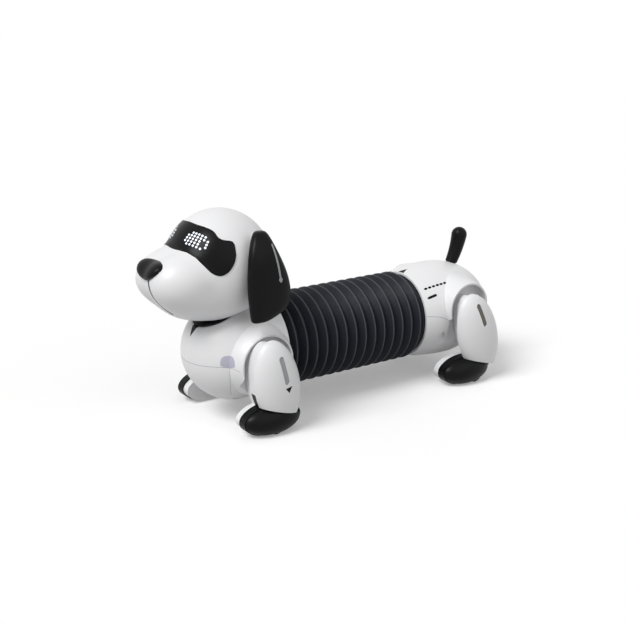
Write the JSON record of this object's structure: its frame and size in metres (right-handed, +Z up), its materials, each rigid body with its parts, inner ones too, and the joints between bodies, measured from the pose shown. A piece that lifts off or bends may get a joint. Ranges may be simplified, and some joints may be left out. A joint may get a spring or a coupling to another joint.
{
  "type": "quadruped robot dog",
  "caption": "Long-bodied toy robot dog with a ribbed bellows waist, turning head, hanging ears, swinging legs on paw rollers, wagging tail and dotted light eyes behind a dark mask.",
  "frame": {"origin": "on the floor under the middle of the overall box", "axes": "+X towards the nose, +Y towards the dog's left, +Z up"},
  "size_m": [0.3749, 0.144, 0.188],
  "materials": {
    "white_plastic": "smooth satin gloss moulding",
    "black_plastic": "smooth black moulding, soft gloss",
    "mask_black": "dark smoked plastic, semi gloss",
    "bellows_rubber": "matt soft elastomer, slate blue",
    "eye_light": "clear diffusing plastic",
    "grey_plastic": "plain moulding",
    "roller_grey": "matt tread",
    "steel": "turned",
    "board_green": "solder resist",
    "battery_sleeve": "shrink sleeve"
  },
  "bodies": {
    "front_body": {"chest_upper_shell": "white_plastic", "chest_lower_shell": "white_plastic", "chest_window": "black_plastic", "neck_collar": "black_plastic", "neck_bush": "grey_plastic", "front_left_servo": "grey_plastic", "front_right_servo": "grey_plastic", "battery_pack": "battery_sleeve", "battery_door": "white_plastic", "main_board": "board_green", "chest_screws": "steel", "front_frame": "grey_plastic", "bellows": "bellows_rubber", "spine_pin": "steel"},
    "rear_body": {"rear_frame": "grey_plastic", "rump_upper_shell": "white_plastic", "rump_lower_shell": "white_plastic", "rump_window": "black_plastic", "rear_left_servo": "grey_plastic", "rear_right_servo": "grey_plastic", "speaker": "grey_plastic", "switch_case": "grey_plastic", "charge_socket": "steel", "rump_screws": "steel"},
    "head": {"face_shell": "white_plastic", "head_back_shell": "white_plastic", "visor": "mask_black", "left_eye_leds": "eye_light", "right_eye_leds": "eye_light", "nose": "black_plastic", "ear_pins": "steel", "neck_post": "white_plastic", "head_board": "board_green"},
    "left_ear_flap": {"left_ear": "black_plastic"},
    "right_ear_flap": {"right_ear": "black_plastic"},
    "tail_piece": {"tail": "black_plastic"},
    "switch_knob": {"power_switch": "black_plastic"},
    "front_left_leg": {"front_left_cover": "white_plastic", "front_left_core": "black_plastic", "front_left_inner": "white_plastic", "front_left_shaft": "steel"},
    "front_left_roller": {"front_left_wheel": "roller_grey"},
    "front_right_leg": {"front_right_cover": "white_plastic", "front_right_core": "black_plastic", "front_right_inner": "white_plastic", "front_right_shaft": "steel"},
    "front_right_roller": {"front_right_wheel": "roller_grey"},
    "rear_left_leg": {"rear_left_cover": "white_plastic", "rear_left_core": "black_plastic", "rear_left_inner": "white_plastic", "rear_left_shaft": "steel"},
    "rear_left_roller": {"rear_left_wheel": "roller_grey"},
    "rear_right_leg": {"rear_right_cover": "white_plastic", "rear_right_core": "black_plastic", "rear_right_inner": "white_plastic", "rear_right_shaft": "steel"},
    "rear_right_roller": {"rear_right_wheel": "roller_grey"}
  },
  "joints": [
    {"name": "body_bend", "type": "hinge", "parent": "front_body", "child": "rear_body", "pos_m": [-0.00775, 0, 0.062], "axis": [0, 0, 1], "range_deg": [-20, 20], "stiffness_Nm_per_rad": 0.3, "deforming": ["bellows"]},
    {"name": "head_turn", "type": "hinge", "parent": "front_body", "child": "head", "pos_m": [0.104, 0, 0.062], "axis": [0.4035, 0, 0.915], "range_deg": [-25, 25]},
    {"name": "left_ear_swing", "type": "hinge", "parent": "head", "child": "left_ear_flap", "pos_m": [0.099, 0.046, 0.166], "axis": [0, 1, 0], "range_deg": [-20, 30]},
    {"name": "right_ear_swing", "type": "hinge", "parent": "head", "child": "right_ear_flap", "pos_m": [0.099, -0.046, 0.166], "axis": [0, 1, 0], "range_deg": [-20, 30]},
    {"name": "tail_turn", "type": "hinge", "parent": "rear_body", "child": "tail_piece", "pos_m": [-0.152, 0, 0.1043], "axis": [-0.342, 0, 0.9397], "range_deg": [-35, 35]},
    {"name": "power_switch_slide", "type": "slide", "parent": "rear_body", "child": "switch_knob", "axis": [1, 0, 0], "range_m": [0, 0.004]},
    {"name": "front_left_leg_swing", "type": "hinge", "parent": "front_body", "child": "front_left_leg", "pos_m": [0.098, 0.03, 0.06], "axis": [0, 1, 0], "range_deg": [-10, 10]},
    {"name": "front_left_roller_spin", "type": "hinge", "parent": "front_left_leg", "child": "front_left_roller", "pos_m": [0.098, 0.059, 0.008], "axis": [0, 1, 0], "continuous": true},
    {"name": "front_right_leg_swing", "type": "hinge", "parent": "front_body", "child": "front_right_leg", "pos_m": [0.098, -0.03, 0.06], "axis": [0, 1, 0], "range_deg": [-10, 10]},
    {"name": "front_right_roller_spin", "type": "hinge", "parent": "front_right_leg", "child": "front_right_roller", "pos_m": [0.098, -0.059, 0.008], "axis": [0, 1, 0], "continuous": true},
    {"name": "rear_left_leg_swing", "type": "hinge", "parent": "rear_body", "child": "rear_left_leg", "pos_m": [-0.1325, 0.03, 0.0725], "axis": [0, 1, 0], "range_deg": [-10, 10]},
    {"name": "rear_left_roller_spin", "type": "hinge", "parent": "rear_left_leg", "child": "rear_left_roller", "pos_m": [-0.1325, 0.059, 0.008], "axis": [0, 1, 0], "continuous": true},
    {"name": "rear_right_leg_swing", "type": "hinge", "parent": "rear_body", "child": "rear_right_leg", "pos_m": [-0.1325, -0.03, 0.0725], "axis": [0, 1, 0], "range_deg": [-10, 10]},
    {"name": "rear_right_roller_spin", "type": "hinge", "parent": "rear_right_leg", "child": "rear_right_roller", "pos_m": [-0.1325, -0.059, 0.008], "axis": [0, 1, 0], "continuous": true}
  ]
}
